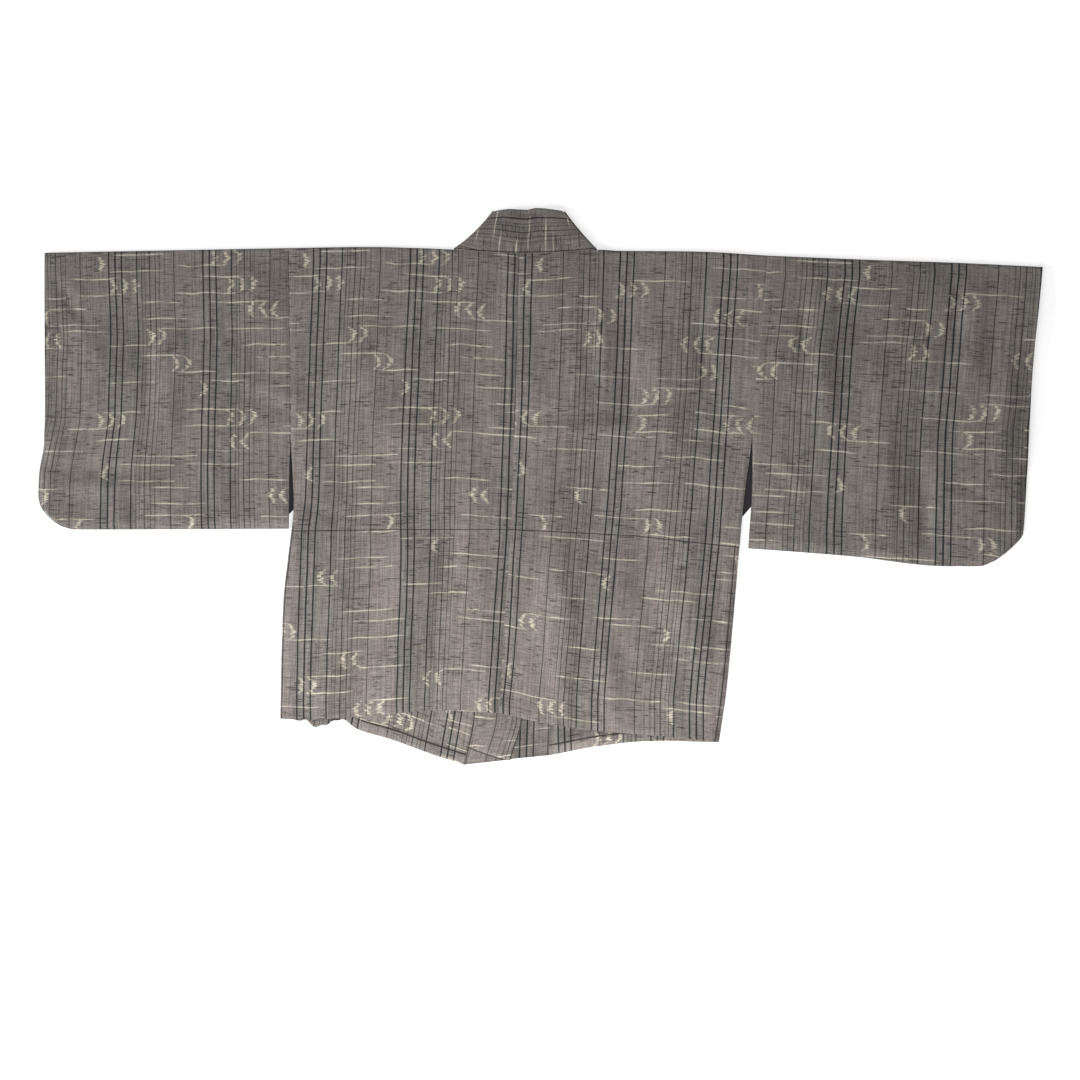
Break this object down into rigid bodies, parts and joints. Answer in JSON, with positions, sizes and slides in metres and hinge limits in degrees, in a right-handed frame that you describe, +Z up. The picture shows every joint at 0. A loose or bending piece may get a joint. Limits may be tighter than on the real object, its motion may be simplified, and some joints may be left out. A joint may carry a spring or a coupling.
{
  "type": "haori jacket",
  "caption": "Short haori jacket in striped kasuri cloth with wide sleeves and a long folded collar band, laid flat with its back up.",
  "frame": {"origin": "under the middle of the garment's outline, on the surface that it lies on", "axes": "+X from the left sleeve to the right sleeve as seen from above, +Y from the hem to the collar, +Z up out of the back"},
  "size_m": [1.2841, 0.712, 0.0079],
  "materials": {
    "kasuri_cloth": "matt hand-woven tsumugi cloth, grey-brown with dark warp stripes and pale ikat figures",
    "lining": "dark plum lining cloth with a slight sheen"
  },
  "bodies": {
    "root": {"body_left": "kasuri_cloth", "body_right": "kasuri_cloth", "sleeve_left": "kasuri_cloth", "sleeve_right": "kasuri_cloth", "collar": "kasuri_cloth", "lining_left": "lining", "lining_right": "lining"}
  },
  "joints": []
}
